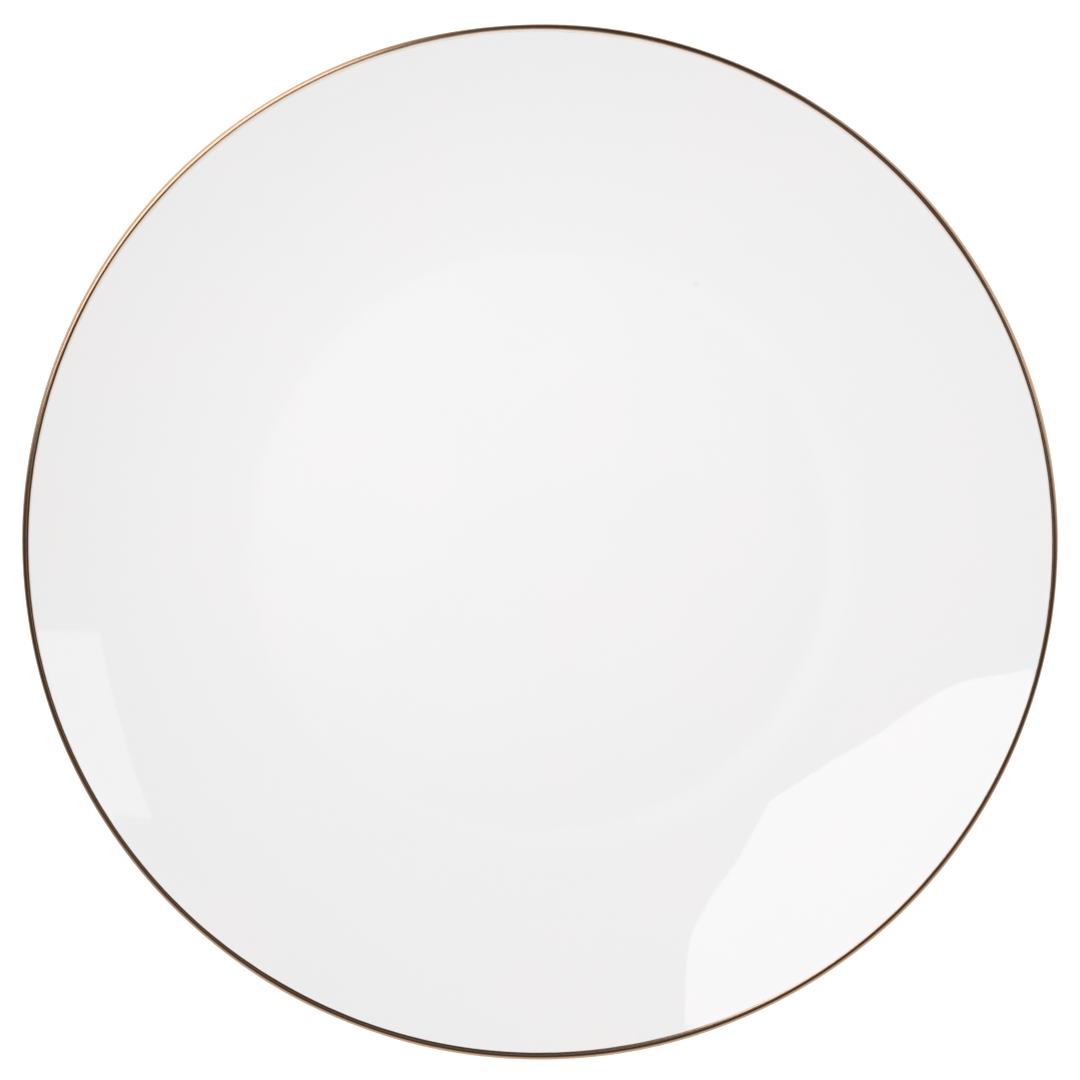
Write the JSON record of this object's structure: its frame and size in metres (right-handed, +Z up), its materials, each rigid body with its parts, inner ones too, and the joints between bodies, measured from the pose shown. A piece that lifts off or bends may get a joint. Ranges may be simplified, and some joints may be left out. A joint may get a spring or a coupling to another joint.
{
  "type": "dinner plate",
  "caption": "Round rimless coupe dinner plate in glazed white porcelain, with a flat well, an upswept wall, a thin gold line on the lip and a bare foot ring.",
  "frame": {"origin": "centre of the foot ring, on the surface that the plate stands on", "axes": "+Z up along the plate's axis, out of the side that the food lies on; the plate is round, so X and Y are free"},
  "size_m": [0.27, 0.27, 0.024],
  "materials": {
    "bare_porcelain": "matt",
    "white_glaze": "gloss",
    "fired_gold": "polished"
  },
  "bodies": {
    "root": {"porcelain_body": "bare_porcelain", "outer_glaze": "white_glaze", "foot_recess_glaze": "white_glaze", "gold_rim_line": "fired_gold"}
  },
  "joints": []
}
